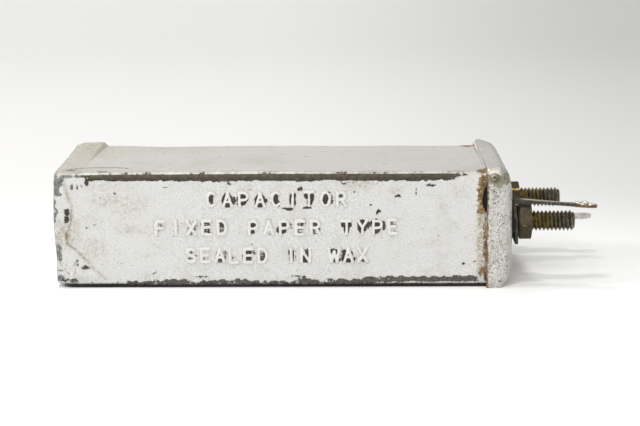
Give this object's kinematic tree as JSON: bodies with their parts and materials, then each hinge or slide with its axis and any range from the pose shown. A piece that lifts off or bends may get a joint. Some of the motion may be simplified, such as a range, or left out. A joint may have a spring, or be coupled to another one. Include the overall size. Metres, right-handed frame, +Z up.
{
  "type": "fixed paper capacitor",
  "caption": "Sealed fixed paper capacitor in an oblong folded sheet-metal can with a soldered end cap and threaded terminal studs with nuts and solder lugs.",
  "frame": {"origin": "middle of the bottom of the whole part, solder lugs included, on the surface it lies on", "axes": "+X along the can towards the terminals, +Y away from the lettered face, +Z up"},
  "size_m": [0.1474, 0.0471, 0.0322],
  "materials": {
    "can_paint": "worn off-white paint, semi-gloss",
    "cap_paint": "worn off-white paint, scuffed",
    "seam_solder": "dull solder stained brown with flux",
    "bright_solder": "tinned, satin",
    "pressboard": "matte",
    "foil": "bright foil",
    "kraft_paper": "wax soaked",
    "cotton_tape": "woven cotton",
    "wax": "satin amber wax",
    "stud_brass": "dark patina, brass shows in the thread roots",
    "nut_brass": "dark patina, worn corners",
    "tinned_lug": "tinned, flux stained",
    "black_fibre": "matte black fibre"
  },
  "bodies": {
    "case": {"can_body": "can_paint", "end_cap": "cap_paint", "solder_seam": "seam_solder", "solder_dot": "bright_solder", "can_liner": "pressboard", "end_pad": "pressboard", "terminal_board": "pressboard", "winding_core": "pressboard", "foil_a": "foil", "foil_b": "foil", "paper_a": "kraft_paper", "paper_b": "kraft_paper", "winding_wrap": "kraft_paper", "tie_bands": "cotton_tape", "sealing_compound": "wax", "stud_near": "stud_brass", "solder_lug_near": "tinned_lug", "outer_insulator_near": "black_fibre", "inner_insulator_near": "black_fibre", "lead_near": "tinned_lug", "stud_far": "stud_brass", "solder_lug_far": "tinned_lug", "outer_insulator_far": "black_fibre", "inner_insulator_far": "black_fibre", "lead_far": "tinned_lug"},
    "washer_near": {"nut_washer_near": "nut_brass"},
    "nut_near": {"hex_nut_near": "nut_brass"},
    "washer_far": {"nut_washer_far": "nut_brass"},
    "nut_far": {"hex_nut_far": "nut_brass"}
  },
  "joints": [
    {"name": "washer_near_slide", "type": "slide", "parent": "case", "child": "washer_near", "axis": [1, 0, 0], "range_m": [0, 0.00317]},
    {"name": "nut_near_turn", "type": "hinge", "parent": "washer_near", "child": "nut_near", "pos_m": [0.05115, -0.0165, 0.0168], "axis": [1, 0, 0], "range_deg": [0, 1092]},
    {"name": "washer_far_slide", "type": "slide", "parent": "case", "child": "washer_far", "axis": [1, 0, 0], "range_m": [0, 0.00317]},
    {"name": "nut_far_turn", "type": "hinge", "parent": "washer_far", "child": "nut_far", "pos_m": [0.05115, 0.0165, 0.0168], "axis": [1, 0, 0], "range_deg": [0, 1092]}
  ],
  "couplings": [
    {"joint": "nut_near_turn", "follows": "washer_near_slide", "rad_per_m": 5936.9},
    {"joint": "nut_far_turn", "follows": "washer_far_slide", "rad_per_m": 5936.9}
  ]
}
